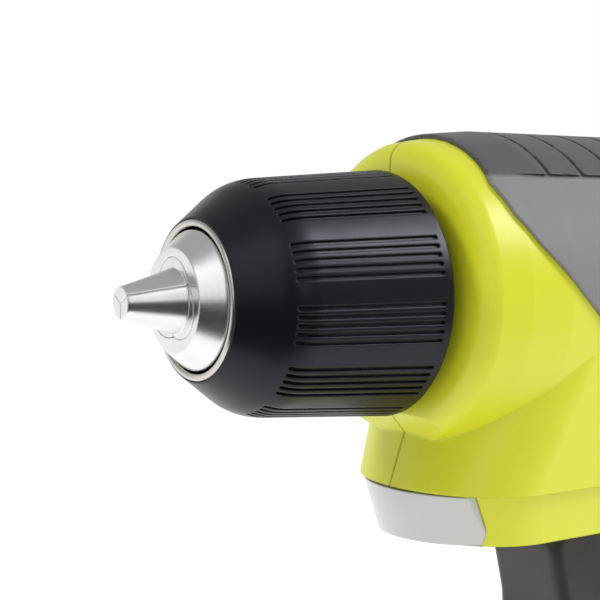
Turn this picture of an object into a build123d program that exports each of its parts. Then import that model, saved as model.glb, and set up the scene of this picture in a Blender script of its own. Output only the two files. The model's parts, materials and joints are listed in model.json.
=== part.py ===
"""Compact cordless drill: keyless chuck, two-stage planetary gearbox, brushed motor, slide-on pack.

Millimetres. +Z is up, the nose points along -Y, and the origin is the middle of the flat face that
the drill stands on. Parts on the spindle axis are drawn by station (distance behind the front rim of
the chuck sleeve) and radius, and side outlines by station and height above the spindle axis.
"""

import math
import os

from build123d import *

os.makedirs("parts", exist_ok=True)

# ---------------------------------------------------------------- driving dimensions
AXIS_Z = 188.0  # spindle height above the standing face
RIM_Y = -97.0  # front rim of the chuck sleeve
WALL = 2.4  # housing wall
SEAM = 0.12  # half of the parting gap between the housing halves
SKIN = 0.6  # thickness of the soft overmould

JAW_COUNT, JAW_TILT, JAW_R = 3, math.radians(20), 4.3
JAW_OFFSET = 1.6  # from the chuck axis to a jaw's own axis, at the flat nose
NOSE, JAW_TIP, JAW_REAR = -3.05, -11.1, 16.5  # stations
BIT_R = 5.1  # bore behind the jaws
SLEEVE_END, SLEEVE_R = 32.6, 18.85

MODULE, PRESSURE_ANGLE = 0.8, math.radians(25)
SUN_TEETH, PLANET_TEETH, RING_TEETH = 12, 15, 42
PLANET_COUNT, PIN_R = 3, 2.0
ORBIT_R = MODULE * (SUN_TEETH + PLANET_TEETH) / 2
BACKLASH = 0.16
RING_R = 19.95
STAGE_2, STAGE_1 = 54.3, 65.7  # stations where the planets of each stage start

COLLAR, COLLAR_R = 35.0, 24.7
BARREL_END = 152.0
MOTOR_R, MOTOR_START, MOTOR_END = 18.0, 76.0, 131.0
SHAFT_R = 1.6

CHIN_TOP, CHIN_BREAK, CHIN_FLOOR = -3.0, -30.2, -38.5  # heights from the spindle axis
CHIN_NOSE = 35.05
FOOT_Z, FOOT_ROOF_Z, SKIRT_Z = 31.0, 43.6, 46.0
CLIP_Y, CLIP_Z = 13.0, 39.0
PLUNGER_Z = 134.0
TERMINAL_X = (-12.0, 12.0)
FOOT_WIDTH, FOOT_LENGTH, FOOT_CORNER = 75.0, 104.0, 12.0
PACK_LENGTH, PACK_SPLIT_Z, PACK_TOP_Z, RAIL_TOP_Z = 112.0, 17.0, 30.7, 43.2
CELL_R, CELL_LENGTH, CELL_COUNT, CELL_PITCH, CELL_Z = 9.1, 65.0, 5, 19.4, 12.0

SPINDLE_AXIS = Axis((0, 0, AXIS_Z), (0, 1, 0))
SIDE = Plane(origin=(0, RIM_Y, AXIS_Z), x_dir=(0, 1, 0), z_dir=(1, 0, 0))


# ---------------------------------------------------------------- shared helpers
def station(s, height=0, x=0):
    """Plane across the spindle axis: local x points to -X, local y up and the normal backwards."""
    return Plane(origin=(x, RIM_Y + s, AXIS_Z + height), x_dir=(-1, 0, 0), z_dir=(0, 1, 0))


def sideways(y, z, x=0):
    """Plane whose normal points to +X, for pins and screws that lie across the drill."""
    return Plane(origin=(x, y, z), x_dir=(0, 1, 0), z_dir=(1, 0, 0))


def level(z, y=0):
    """Horizontal plane, local axes along X and Y."""
    return Plane(origin=(0, y, z), x_dir=(1, 0, 0), z_dir=(0, 0, 1))


def save(builder, name):
    """Label a finished piece and write it as its own file."""
    builder.part.label = name
    export_step(builder.part, f"parts/{name}.step")


def turn(*points, mode=Mode.ADD):
    """Turn a closed outline of (station, radius) points about the spindle axis."""
    with BuildSketch(SIDE) as outline:
        with BuildLine():
            Polyline(*points, close=True)
        make_face()
    revolve(outline.sketch, axis=SPINDLE_AXIS, mode=mode)


def rod(plane, radius, length, mode=Mode.ADD):
    """A round bar that starts on a plane and runs along its normal."""
    with BuildSketch(plane) as disc:
        Circle(radius)
    extrude(disc.sketch, amount=length, mode=mode)


def tube(plane, outer, inner, length):
    """A round tube that starts on a plane and runs along its normal."""
    with BuildSketch(plane) as annulus:
        Circle(outer)
        Circle(inner, mode=Mode.SUBTRACT)
    extrude(annulus.sketch, amount=length)


def block(x, y, z, mode=Mode.ADD):
    """An upright block between (low, high) pairs."""
    with Locations(((x[0] + x[1]) / 2, (y[0] + y[1]) / 2, (z[0] + z[1]) / 2)):
        Box(x[1] - x[0], y[1] - y[0], z[1] - z[0], mode=mode)


def side_plate(points, half_width, mode=Mode.ADD):
    """A plate with a (station, height) outline, as thick each side of the middle."""
    with BuildSketch(SIDE) as outline:
        with BuildLine():
            Polyline(*points, close=True)
        make_face()
    extrude(outline.sketch, amount=half_width, both=True, mode=mode)


def turned_about_axis(shape, angles):
    """Copies of a shape, turned about the spindle axis."""
    return [shape.rotate(SPINDLE_AXIS, angle) for angle in angles]


def polar(radius, angle):
    """A point on a station plane."""
    return (radius * math.cos(angle), radius * math.sin(angle))


def coil_spring(coil_r, wire_r, pitch, turns, plane):
    """Compression spring of level half turns joined by climbing half turns, along a plane's normal."""
    climb_r = math.hypot(2 * coil_r, pitch) / 2
    with BuildPart(mode=Mode.PRIVATE) as spring:
        with BuildLine() as path:
            for lap in range(turns):
                z = lap * pitch
                ThreePointArc((coil_r, 0, z), (0, coil_r, z), (-coil_r, 0, z))
                ThreePointArc((-coil_r, 0, z), (0, -climb_r, z + pitch / 2), (coil_r, 0, z + pitch))
        with BuildSketch(Plane(origin=(coil_r, 0, 0), z_dir=(0, 1, 0))) as section:
            Circle(wire_r)
        sweep(section.sketch, path=path.line)
    return plane.location * spring.part


# ---------------------------------------------------------------- chuck
def jaw_plane(index):
    """Plane across a jaw's own sloping axis at the flat nose, normal backwards and outwards."""
    angle = math.radians(90 + 360 / JAW_COUNT * index)
    out = Vector(-math.cos(angle), 0, math.sin(angle))
    back = out * math.sin(JAW_TILT) + Vector(0, math.cos(JAW_TILT), 0)
    start = Vector(0, RIM_Y + NOSE, AXIS_Z) + out * JAW_OFFSET
    return Plane(origin=start, x_dir=back.cross(out), z_dir=back)


def sleeve_groove():
    """Cutter for one grip groove on top of the sleeve, at an even depth under its surface."""
    width, start, end = 0.62, 7.0, 30.8
    with BuildPart(mode=Mode.PRIVATE) as cutter:
        with BuildSketch(SIDE):
            with BuildLine():
                Polyline(
                    (start, 16.0), (8.6, 16.6), (10.5, 16.92), (end, 18.3), (end, 20), (start, 19),
                    close=True,
                )
            make_face()
        extrude(amount=width / 2, both=True)
        uprights = cutter.edges().filter_by(GeomType.LINE).filter_by(Axis.Z)
        fillet(uprights, width * 0.48)
    return cutter.part


def chuck_sleeve():
    """Black hand-tightening sleeve: nose cone, gentle flare and twelve groups of five grip grooves."""
    groups, grooves, groove_pitch, first_group = 12, 5, 4.1, 10.0
    middle = (grooves - 1) / 2
    angles = [
        first_group + 360 / groups * group + groove_pitch * (groove - middle)
        for group in range(groups)
        for groove in range(grooves)
    ]
    cutters = turned_about_axis(sleeve_groove(), angles)
    with BuildPart() as sleeve:
        with BuildSketch(SIDE) as outline:
            with BuildLine():
                Polyline((0.1, 11.5), (0.3, 11.75), (5.2, 15.45))
                Spline((5.2, 15.45), (10.5, 17.35), tangents=((1, 0.77), (1, 0.06)))
                Polyline(
                    (10.5, 17.35), (32.0, SLEEVE_R), (SLEEVE_END, 18.3), (SLEEVE_END, 16.6), (21.5, 16.5),
                    (20.0, 15.2), (13.2, 15.0), (8.0, 15.0), (7.2, 13.9), (3.2, 10.9), (2.0, 10.9),
                    (2.0, 11.5), (0.1, 11.5),
                )
            make_face()
        revolve(outline.sketch, axis=SPINDLE_AXIS)
        add(cutters, mode=Mode.SUBTRACT)
    save(sleeve, "chuck_sleeve")


def chuck_nose_ring():
    """Bright steel ring with a rounded front, pressed into the front of the sleeve."""
    inner, outer, back = 10.35, 11.48, 1.95
    with BuildPart() as ring:
        with BuildSketch(SIDE) as outline:
            with BuildLine():
                ThreePointArc((0.4, inner), (-0.15, 10.9), (0.4, outer))
                Polyline((0.4, outer), (back, outer), (back, inner), (0.4, inner))
            make_face()
        revolve(outline.sketch, axis=SPINDLE_AXIS)
    save(ring, "chuck_nose_ring")


def cut_jaw_guides():
    """Bore the sloping guides of the three jaws."""
    for index in range(JAW_COUNT):
        rod(jaw_plane(index).offset(-8), JAW_R + 0.06, 48, mode=Mode.SUBTRACT)


def chuck_body():
    """Steel body: turned nose cone, jaw guides, nut groove, thrust flange and spindle socket."""
    with BuildPart() as body:
        turn(
            (NOSE, 0), (NOSE, 7.45), (NOSE + 0.1, 7.55), (-0.1, 9.9), (0.2, 10.0), (3.3, 10.0),
            (6.2, 12.2), (7.9, 12.2), (7.9, 8.6), (15.6, 8.6), (15.6, 14.75), (19.0, 14.75),
            (19.0, 11.5), (33.0, 11.5), (33.0, 0),
        )
        rod(station(NOSE), BIT_R, 20 - NOSE, mode=Mode.SUBTRACT)
        rod(station(19), 2.6, 4, mode=Mode.SUBTRACT)
        rod(station(22), 4.7, 12, mode=Mode.SUBTRACT)
        cut_jaw_guides()
    save(body, "chuck_body")


def chuck_jaw(index):
    """Sloping round jaw: turned tip, 120 degree gripping wedge and thread teeth along its back."""
    plane = jaw_plane(index)
    length, teeth, tooth_pitch, wedge_gap = 24.0, 7, 1.5, 0.03
    angle = 360 / JAW_COUNT * index
    with BuildPart() as jaw:
        rod(plane.offset(-12), JAW_R, 12 + length)
        # The gripping wedge: what lies beyond the two planes shared with the other jaws is cut away.
        reach = 16
        spread = math.radians(180 / JAW_COUNT)
        with BuildSketch(station(JAW_TIP - 4)) as wedge:
            with BuildLine():
                Polyline(
                    (0, wedge_gap / math.sin(spread)),
                    polar(reach, math.radians(90) - spread),
                    (0, 2 * reach),
                    polar(reach, math.radians(90) + spread),
                    close=True,
                )
            make_face()
        sector = extrude(wedge.sketch, amount=46, mode=Mode.PRIVATE)
        add(sector.rotate(SPINDLE_AXIS, angle), mode=Mode.INTERSECT)
        # The turned tip, a shoulder flush with the body's nose, and the relieved rear corner.
        with BuildSketch(SIDE) as envelope:
            with BuildLine():
                Polyline(
                    (JAW_TIP, 0), (JAW_TIP, 2.2), (JAW_TIP + 0.12, 2.31), (NOSE, 4.62), (NOSE, 11.1),
                    (JAW_REAR, 11.1), (JAW_REAR, 0), close=True,
                )
            make_face()
        turned = revolve(envelope.sketch, axis=SPINDLE_AXIS, mode=Mode.PRIVATE)
        add(turned, mode=Mode.INTERSECT)
        # Thread teeth on the outer back, in mesh with the split nut.
        for tooth in range(teeth):
            with BuildSketch(plane.offset(6.5 + tooth * tooth_pitch)) as notch:
                with Locations((0, JAW_R)):
                    Rectangle(2 * JAW_R, 0.9)
            extrude(notch.sketch, amount=0.7, mode=Mode.SUBTRACT)
    save(jaw, f"jaw_{index + 1}")


def chuck_nut():
    """Split nut with a coned bore that drives the jaws, two halves held by the sleeve."""
    with BuildPart() as nut:
        turn((8.15, 10.6), (8.15, 14.95), (13.0, 14.95), (13.0, 12.35))
        block((-0.1, 0.1), (RIM_Y + 7, RIM_Y + 14), (AXIS_Z - 16, AXIS_Z + 16), mode=Mode.SUBTRACT)
    save(nut, "chuck_nut")


def chuck_thrust_bearing():
    """Hardened washer and balls between the nut and the body's flange."""
    ball_count, ball_r, pitch_r = 18, 0.9, 13.75
    with BuildPart() as bearing:
        tube(station(14.9), 14.7, 13.2, 0.65)
        for ball in range(ball_count):
            place = station(13.96)
            x, y = polar(pitch_r, 2 * math.pi * ball / ball_count)
            with Locations(place.from_local_coords((x, y, 0))):
                Sphere(ball_r)
    save(bearing, "chuck_thrust_bearing")


def chuck_rear_cover():
    """Dished plate that closes the back of the sleeve."""
    with BuildPart() as cover:
        turn((30.3, 11.55), (30.3, 15.6), (31.0, 16.1), (31.9, 16.1), (31.9, 11.55))
    save(cover, "chuck_rear_cover")


def chuck_screw():
    """Left-hand screw that locks the chuck to the spindle, driven from between the jaws."""
    with BuildPart() as screw:
        rod(station(17.2), 4.3, 2.78)
        rod(station(19.98), 2.5, 9)
        with BuildSketch(station(17.2)) as recess:
            RegularPolygon(1.7, 6)
        extrude(recess.sketch, amount=1.6, mode=Mode.SUBTRACT)
        fillet(screw.edges().group_by(Axis.Y)[0].filter_by(GeomType.CIRCLE), 0.4)
    save(screw, "chuck_screw")


# ---------------------------------------------------------------- gears
def involute(angle):
    return math.tan(angle) - angle


def gear_points(teeth, phase, addendum, dedendum, slack):
    """Corners of a tooth form with involute flanks in short facets; phase is a tooth's middle."""
    pitch_r = MODULE * teeth / 2
    base_r = pitch_r * math.cos(PRESSURE_ANGLE)
    facets = 4
    points = []
    for tooth in range(teeth):
        middle = phase + tooth * 2 * math.pi / teeth
        for side in (-1, 1):
            for facet in range(facets + 1):
                share = facet / facets if side < 0 else 1 - facet / facets
                radius = pitch_r - dedendum + share * (addendum + dedendum)
                flank = math.acos(min(1, base_r / radius))
                half = math.pi / (2 * teeth) + slack / pitch_r + involute(PRESSURE_ANGLE) - involute(flank)
                points.append(polar(radius, middle + side * half))
    return points


def gear(plane, teeth, phase, width):
    """An external gear, thinned by its share of the backlash."""
    with BuildSketch(plane) as profile:
        with BuildLine():
            Polyline(*gear_points(teeth, phase, 0.98 * MODULE, 1.2 * MODULE, -BACKLASH / 4), close=True)
        make_face()
    extrude(profile.sketch, amount=width)


def planet_angle(index):
    return math.radians(90 + 360 / PLANET_COUNT * index)


def planet_phase(angle):
    """Tooth phase of a planet in mesh with a sun that has a tooth at zero."""
    return (0.5 + angle * SUN_TEETH / (2 * math.pi)) * 2 * math.pi / PLANET_TEETH + angle + math.pi


def ring_gear(name, start, width):
    """Internal ring gear, fixed in the gearbox by six lugs."""
    angle = planet_angle(0)
    space = angle - (angle - planet_phase(angle)) * PLANET_TEETH / RING_TEETH
    with BuildPart() as ring:
        with BuildSketch(station(start)) as profile:
            Circle(RING_R)
            with BuildLine(mode=Mode.PRIVATE) as teeth:
                points = gear_points(RING_TEETH, space, 1.15 * MODULE, 0.88 * MODULE, BACKLASH / 4)
                Polyline(*points, close=True)
            make_face(teeth.edges(), mode=Mode.SUBTRACT)
        extrude(profile.sketch, amount=width)
    save(ring, name)


def planet(name, start, width, angle):
    """Planet gear with a pin bore and a turned boss each side."""
    x, y = polar(ORBIT_R, angle)
    place = station(start, height=y, x=-x)
    with BuildPart() as wheel:
        gear(place, PLANET_TEETH, planet_phase(angle), width)
        rod(place.offset(-0.2), 3.4, width + 0.4)
        rod(place.offset(-1), PIN_R + 0.05, width + 2, mode=Mode.SUBTRACT)
    save(wheel, name)


def carrier_pins(start, length):
    """The pins that the planets turn on."""
    for index in range(PLANET_COUNT):
        x, y = polar(ORBIT_R, planet_angle(index))
        rod(station(start, height=y, x=-x), PIN_R, length)


def spindle():
    """Output spindle: chuck stub, bearing journal, planet carrier and its pins, in one piece."""
    with BuildPart() as shaft:
        turn(
            (22.3, 0), (22.3, 4.2), (22.8, 4.65), (33.1, 4.65), (33.1, 7.5), (38.3, 7.5), (38.3, 6.0),
            (44.9, 6.0), (44.9, 7.3), (49.5, 8.0), (49.5, 14.6), (53.3, 14.6), (53.3, 0),
        )
        carrier_pins(53.2, 8.6)
        rod(station(20), 2.52, 10, mode=Mode.SUBTRACT)
    save(shaft, "spindle")


def front_bearing():
    """Deep-groove ball bearing of the spindle, as an outer and an inner node."""
    ball_count, ball_r, pitch_r = 11, 1.24, 9.0
    with BuildPart() as outer:
        tube(station(38.6), 12.0, 10.3, 6)
        for ball in range(ball_count):
            x, y = polar(pitch_r, 2 * math.pi * ball / ball_count)
            with Locations((-x, RIM_Y + 41.6, AXIS_Z + y)):
                Sphere(ball_r)
    save(outer, "front_bearing_outer")
    with BuildPart() as inner:
        tube(station(38.6), 7.7, 6.02, 6)
    save(inner, "front_bearing_inner")


def gearbox_housing():
    """Cast gear case: neck with the bearing seat, shoulder and long drum."""
    with BuildPart() as case:
        turn(
            (36.0, 9.0), (36.0, 14.2), (36.4, 14.6), (45.0, 14.6), (46.4, 20.0), (47.4, 21.6), (73.2, 21.6),
            (73.2, 20.02), (48.6, 20.02), (47.8, 18.4), (46.8, 9.4), (44.65, 9.4), (44.65, 12.04),
            (38.55, 12.04), (38.55, 9.0),
        )
    save(case, "gearbox_housing")


def first_carrier():
    """Carrier of the first stage with the second sun gear and three pins."""
    with BuildPart() as carrier:
        gear(station(53.9), SUN_TEETH, 0, 8.8)
        rod(station(62.6), 14.6, 2.7)
        carrier_pins(65.2, 5.9)
        rod(station(53), 1.2, 15, mode=Mode.SUBTRACT)
    save(carrier, "first_carrier")


def motor_mount_plate():
    """Steel plate that closes the gear case and carries the motor."""
    with BuildPart() as plate:
        tube(station(73.3), 21.6, 7.0, 2.6)
        for side in (-1, 1):
            rod(station(72, x=side * 12.5), 1.6, 6, mode=Mode.SUBTRACT)
    save(plate, "motor_mount_plate")


# ---------------------------------------------------------------- motor
def motor_can():
    """Drawn steel can with a bearing boss and cooling windows."""
    with BuildPart() as can:
        turn(
            (MOTOR_START, 2.4), (MOTOR_START, 17.2), (MOTOR_START + 0.8, MOTOR_R), (MOTOR_END, MOTOR_R),
            (MOTOR_END, MOTOR_R - 1.3), (MOTOR_START + 1.4, MOTOR_R - 1.3), (MOTOR_START + 1.4, 2.4),
        )
        tube(station(74.0), 5.0, 2.4, 2.2)
        window = Box(6, 3.2, 6, mode=Mode.PRIVATE)
        for angle in range(0, 360, 60):
            x, y = polar(MOTOR_R, math.radians(angle))
            with Locations((-x, RIM_Y + 80.2, AXIS_Z + y)):
                add(window, mode=Mode.SUBTRACT)
    save(can, "motor_can")


def motor_magnets():
    """Two ferrite arcs glued inside the can."""
    with BuildPart() as magnets:
        tube(station(84.5), MOTOR_R - 1.32, 13.5, 34.5)
        block((-4.5, 4.5), (RIM_Y + 80, RIM_Y + 122), (AXIS_Z - 20, AXIS_Z + 20), mode=Mode.SUBTRACT)
    save(magnets, "motor_magnets")


def rotor_core():
    """Slotted lamination stack."""
    slots = 5
    with BuildPart() as core:
        with BuildSketch(station(87)) as profile:
            Circle(13.0)
            with PolarLocations(8.6, slots):
                Circle(3.0, mode=Mode.SUBTRACT)
            with PolarLocations(12.2, slots):
                Rectangle(3.2, 1.6, mode=Mode.SUBTRACT)
            Circle(SHAFT_R, mode=Mode.SUBTRACT)
        extrude(profile.sketch, amount=29)
    save(core, "rotor_core")


def rotor_windings():
    """Copper end turns joined through the core's slots, and the segmented commutator behind them."""
    slots, segments = 5, 10
    with BuildPart() as windings:
        for near, far in ((84.2, 86.9), (116.1, 119.6)):
            turn((near, 3.4), (near, 9.6), ((near + far) / 2, 11.2), (far, 11.6), (far, 2.2), (near, 2.2))
        with BuildSketch(station(86.5)) as bundle:
            with PolarLocations(8.6, slots):
                Circle(2.8)
        extrude(bundle.sketch, amount=30)
        tube(station(119.8), 4.6, SHAFT_R, 8.6)
        cut = Box(0.3, 8, 1.2, mode=Mode.PRIVATE).moved(Location((0, RIM_Y + 125, AXIS_Z + 4.5)))
        angles = [360 / segments * index for index in range(segments)]
        add(turned_about_axis(cut, angles), mode=Mode.SUBTRACT)
    save(windings, "rotor_windings")


def rotor_shaft():
    """Motor shaft, from the pinion to the rear bush, with the first sun gear pressed on its nose."""
    with BuildPart() as shaft:
        gear(station(STAGE_1 - 0.1), SUN_TEETH, 0, 7.0)
        rod(station(65), SHAFT_R, 9, mode=Mode.SUBTRACT)
        rod(station(STAGE_1 - 0.1), SHAFT_R - 0.02, 71.4)
    save(shaft, "rotor_shaft")


def motor_fan():
    """Moulded cooling fan just behind the can's front wall."""
    blades = 9
    with BuildPart() as fan:
        tube(station(82.6), 15.4, SHAFT_R, 0.9)
        tube(station(78.6), 4.0, SHAFT_R, 4.2)
        blade = Box(0.9, 3.9, 10.6, mode=Mode.PRIVATE).moved(Location((0, RIM_Y + 80.75, AXIS_Z + 9.6)))
        add(turned_about_axis(blade, [360 / blades * index for index in range(blades)]))
    save(fan, "motor_fan")


def motor_end_cap():
    """Moulded end cap with the rear bush seat and brush tunnels."""
    with BuildPart() as cap:
        turn(
            (MOTOR_END + 0.05, 1.75), (MOTOR_END + 0.05, MOTOR_R), (MOTOR_END + 4.2, MOTOR_R),
            (MOTOR_END + 5.2, 16.8), (MOTOR_END + 5.2, 5.6), (MOTOR_END + 8.2, 5.6),
            (MOTOR_END + 8.2, 1.75),
        )
        for side in (-1, 1):
            tunnel = sorted((AXIS_Z + side * 7.4, AXIS_Z + side * 15.4))
            bore = sorted((AXIS_Z + side * 4, AXIS_Z + side * 14.2))
            block((-2.9, 2.9), (RIM_Y + 121.2, RIM_Y + 131.1), tunnel)
            block((-2.0, 2.0), (RIM_Y + 122.2, RIM_Y + 127.8), bore, mode=Mode.SUBTRACT)
        for angle in (0, 180):
            x, y = polar(10.5, math.radians(angle))
            rod(station(MOTOR_END, height=y, x=-x), 3.2, 7, mode=Mode.SUBTRACT)
    save(cap, "motor_end_cap")


def motor_brushes():
    """Carbon brushes that bear on the commutator, and the solder tags that feed them."""
    with BuildPart() as brushes:
        for side in (-1, 1):
            x = side * 12.5
            carbon = sorted((AXIS_Z + side * 4.66, AXIS_Z + side * 11.8))
            block((-1.9, 1.9), (RIM_Y + 122.4, RIM_Y + 127.6), carbon)
            block((x - 0.4, x + 0.4), (RIM_Y + 136.3, RIM_Y + 142), (AXIS_Z - 7.5, AXIS_Z - 3))
    save(brushes, "motor_brushes")


# ---------------------------------------------------------------- housing form
def barrel(inset):
    """Motor barrel: rounded collar, chamfered below where the chin meets it, and a domed back."""
    nose, radius, tail = COLLAR + inset, COLLAR_R - inset, BARREL_END - inset
    with BuildSketch(SIDE) as outline:
        with BuildLine():
            Line((nose, 0), (nose, radius - 4.9))
            ThreePointArc((nose, radius - 4.9), (nose + 0.75, radius - 2.6), (nose + 2.4, radius - 1.4))
            Polyline(
                (nose + 2.4, radius - 1.4), (nose + 7.5, radius - 0.6), (nose + 15, radius),
                (tail - 15, radius),
            )
            ThreePointArc((tail - 15, radius), (tail - 4, radius - 4.4), (tail, radius - 14.7))
            Polyline((tail, radius - 14.7), (tail, 0), (nose, 0))
        make_face()
    revolve(outline.sketch, axis=SPINDLE_AXIS)
    s, h = 33 + 0.75 * inset, -16.2 + 0.65 * inset
    side_plate([(s, h), (s + 9, h - 10.28), (s, h - 10.28)], 30, mode=Mode.SUBTRACT)


def bow(height, nose, half_width, tail=92.0, depth=14.0):
    """Horizontal section with a bow-shaped front and straight flanks."""
    front_y = RIM_Y + nose + depth
    with BuildSketch(level(AXIS_Z + height)) as section:
        with BuildLine():
            EllipticalCenterArc((0, front_y), half_width, depth, start_angle=180, arc_size=180)
            Polyline(
                (half_width, front_y), (half_width, RIM_Y + tail), (-half_width, RIM_Y + tail),
                (-half_width, front_y),
            )
        make_face()
    return section.sketch


def chin(inset):
    """Deep bow-fronted chin under the gearbox, set back below its break line."""
    top = bow(CHIN_TOP, 45.0 + inset, 24.3 - inset)
    brow = bow(CHIN_BREAK, CHIN_NOSE + inset, 18.8 - inset)
    loft([top, brow])
    lip = bow(CHIN_BREAK, CHIN_NOSE + 1.5 + inset, 17.6 - inset)
    loft([lip, bow(CHIN_FLOOR + inset, CHIN_NOSE + 3.5 + inset, 15.8 - inset)])


def handle(inset):
    """Pistol handle, leaning back a little."""
    sizes = (
        (176, 4.0, 34.0, 45.0), (150, 4.0, 34.0, 42.5), (128, 5.0, 32.5, 39.5), (104, 7.5, 33.0, 38.5),
        (82, 9.0, 34.0, 40.0), (58, 7.0, 38.0, 47.0),
    )
    sections = []
    for z, y, width, length in sizes:
        with BuildSketch(level(z, y)) as section:
            RectangleRounded(width - 2 * inset, length - 2 * inset, 14.5 - inset)
        sections.append(section.sketch)
    loft(sections)


def foot(inset, floor):
    """Battery foot: an upright skirt that flares down from the handle."""
    sizes = (
        (68, 8.0, 36.0, 43.0, 14.5), (55, 2.5, 60.0, 80.0, 14.0),
        (SKIRT_Z, 0, FOOT_WIDTH, FOOT_LENGTH, FOOT_CORNER),
    )
    sections = []
    for z, y, width, length, corner in sizes:
        with BuildSketch(level(z, y)) as section:
            RectangleRounded(width - 2 * inset, length - 2 * inset, corner - inset)
        sections.append(section.sketch)
    loft(sections, ruled=True)
    if floor < SKIRT_Z:
        extrude(sections[-1], amount=floor - SKIRT_Z)


def body_form(inset, floor):
    """The drill's outside, drawn in by an inset: the same form makes the walls and the soft skin."""
    with BuildPart() as form:
        barrel(inset)
        chin(inset)
        handle(inset)
        foot(inset, floor)
    return form.part


def grip_region():
    """What the soft skin covers: the top and back of the barrel and the rear of the handle."""
    with BuildPart() as region:
        side_plate(
            [
                (42.0, 30), (40.6, 19), (40.0, 16.5), (41.5, 12), (44.5, 7.7), (52, 0), (62, -9), (74, -20),
                (86, -30), (96, -44), (99, -62), (101, -84), (104, -106), (108, -124), (132, -124),
                (132, -30), (131, -12), (133, 0), (133, 30),
            ],
            45,
        )
    return region.part


def side_slots(mode):
    """Cooling slots: exhaust beside the fan and intake behind the motor, through both sides."""
    for s in (78.0, 82.0, 92.0, 96.0):
        block((-30, 30), (RIM_Y + s - 0.9, RIM_Y + s + 0.9), (AXIS_Z - 7, AXIS_Z + 9), mode=mode)
    for z in (-9.0, -4.5, 0.0, 4.5, 9.0):
        block((-30, 30), (RIM_Y + 133, RIM_Y + 141.5), (AXIS_Z + z - 1, AXIS_Z + z + 1), mode=mode)


def direction_window():
    """Opening through both sides for the direction bar."""
    block((-30, 30), (-14.4, -4.6), (151.9, 158.1), mode=Mode.SUBTRACT)


# Screw posts as (y, z, reach to each side).
SCREW_POSTS = (
    (49.0, 200.0, 15.5), (49.0, 176.0, 15.5), (-44.0, 161.3, 18.2), (15.0, 103.0, 15.0), (-1.0, 72.0, 15.5),
    (-35.0, 50.4, 30.5), (38.0, 50.4, 30.5),
)
POST_R, SCREW_R, SCREW_HEAD_R, SCREW_HEAD_DEPTH = 3.8, 1.45, 2.9, 7.0


def housing_half(name, side, outer, cavity):
    """One moulded half of the housing: wall, cradle ribs, screw posts and all its openings."""
    with BuildPart() as half:
        add(outer)
        add(cavity, mode=Mode.SUBTRACT)
        # Cradle ribs around the gear case and the motor, notched below for the motor leads.
        for s, bore in ((52, 21.7), (69, 21.7), (88, 18.1), (106, 18.1), (124, 18.1)):
            tube(station(s), COLLAR_R - WALL + 0.4, bore, 2)
        block((-11, 11), (RIM_Y + 85, RIM_Y + 128), (AXIS_Z - 22.8, AXIS_Z - 14), mode=Mode.SUBTRACT)
        for y, z, reach in SCREW_POSTS:
            rod(sideways(y, z, -reach), POST_R, 2 * reach)
            rod(sideways(y, z, 1), SCREW_R, reach - 4, mode=Mode.SUBTRACT)
            rod(sideways(y, z, -reach), SCREW_R + 0.2, reach + 2, mode=Mode.SUBTRACT)
            rod(sideways(y, z, -reach + SCREW_HEAD_DEPTH), SCREW_HEAD_R + 0.15, -40, mode=Mode.SUBTRACT)
        # Openings: collar, lamp seat, trigger, direction bar, cooling slots.
        rod(station(30), 15.0, 12, mode=Mode.SUBTRACT)
        add(lamp_seat(0.12), mode=Mode.SUBTRACT)
        block((-8.6, 8.6), (-42, -6), (117.9, 149.2), mode=Mode.SUBTRACT)
        direction_window()
        side_slots(Mode.SUBTRACT)
        # Slide channel for the pack, open to the front, with latch pockets in its rails.
        block((-28.6, 28.6), (-60, 40), (34.9, FOOT_ROOF_Z), mode=Mode.SUBTRACT)
        block((-24.5, 24.5), (-60, 40), (30, 36), mode=Mode.SUBTRACT)
        for x in (-31.5, 31.5):
            block((x - 5, x + 5), (-60, -37.3), (30, 35.3), mode=Mode.SUBTRACT)
        block((-16.2, 16.2), (3.8, 30.2), (43, 47), mode=Mode.SUBTRACT)
        if side > 0:
            tube(sideways(CLIP_Y, CLIP_Z, 29), 5.0, 1.3, 6.5)
            rod(sideways(CLIP_Y, CLIP_Z, 27), 1.3, 15, mode=Mode.SUBTRACT)
            block((SEAM, 45), (-70, 60), (25, 220), mode=Mode.INTERSECT)
        else:
            rod(sideways(CLIP_Y, CLIP_Z, -36), 5.0, 7)
            rod(sideways(CLIP_Y, CLIP_Z, -29.5), 1.65, -10, mode=Mode.SUBTRACT)
            block((-45, -SEAM), (-70, 60), (25, 220), mode=Mode.INTERSECT)
    save(half, name)


def saddle_grooves():
    """Cutter for the hoop grooves over the barrel's top and the crease below them on each side."""
    first_hoop, hoop_pitch, hoop_count, hoop_width, crease = 51.05, 7.0, 11, 0.8, 17.8
    bottom_r = COLLAR_R + SKIN - 0.4
    with BuildPart() as grooves:
        for hoop in range(hoop_count):
            tube(station(first_hoop + hoop * hoop_pitch), COLLAR_R + 3, bottom_r, hoop_width)
        block((-30, 30), (-70, 60), (AXIS_Z + crease, AXIS_Z + 30), mode=Mode.INTERSECT)
        block((-30, 30), (-70, 60), (AXIS_Z + crease - 0.3, AXIS_Z + crease + 0.3))
        rod(station(30), bottom_r, 130, mode=Mode.SUBTRACT)
    return grooves.part


def grip_half(name, side, outer):
    """Soft overmould of one half, with a saddle of hoop grooves along the top."""
    skin = body_form(-SKIN, FOOT_Z)
    with BuildPart() as grip:
        add(skin)
        add(outer, mode=Mode.SUBTRACT)
        add(grip_region(), mode=Mode.INTERSECT)
        add(saddle_grooves(), mode=Mode.SUBTRACT)
        side_slots(Mode.SUBTRACT)
        direction_window()
        for y, z, reach in SCREW_POSTS:
            rod(sideways(y, z, 0), SCREW_HEAD_R + 0.6, -40, mode=Mode.SUBTRACT)
        block(sorted((side * SEAM, side * 45)), (-70, 60), (25, 220), mode=Mode.INTERSECT)
    save(grip, name)


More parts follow.
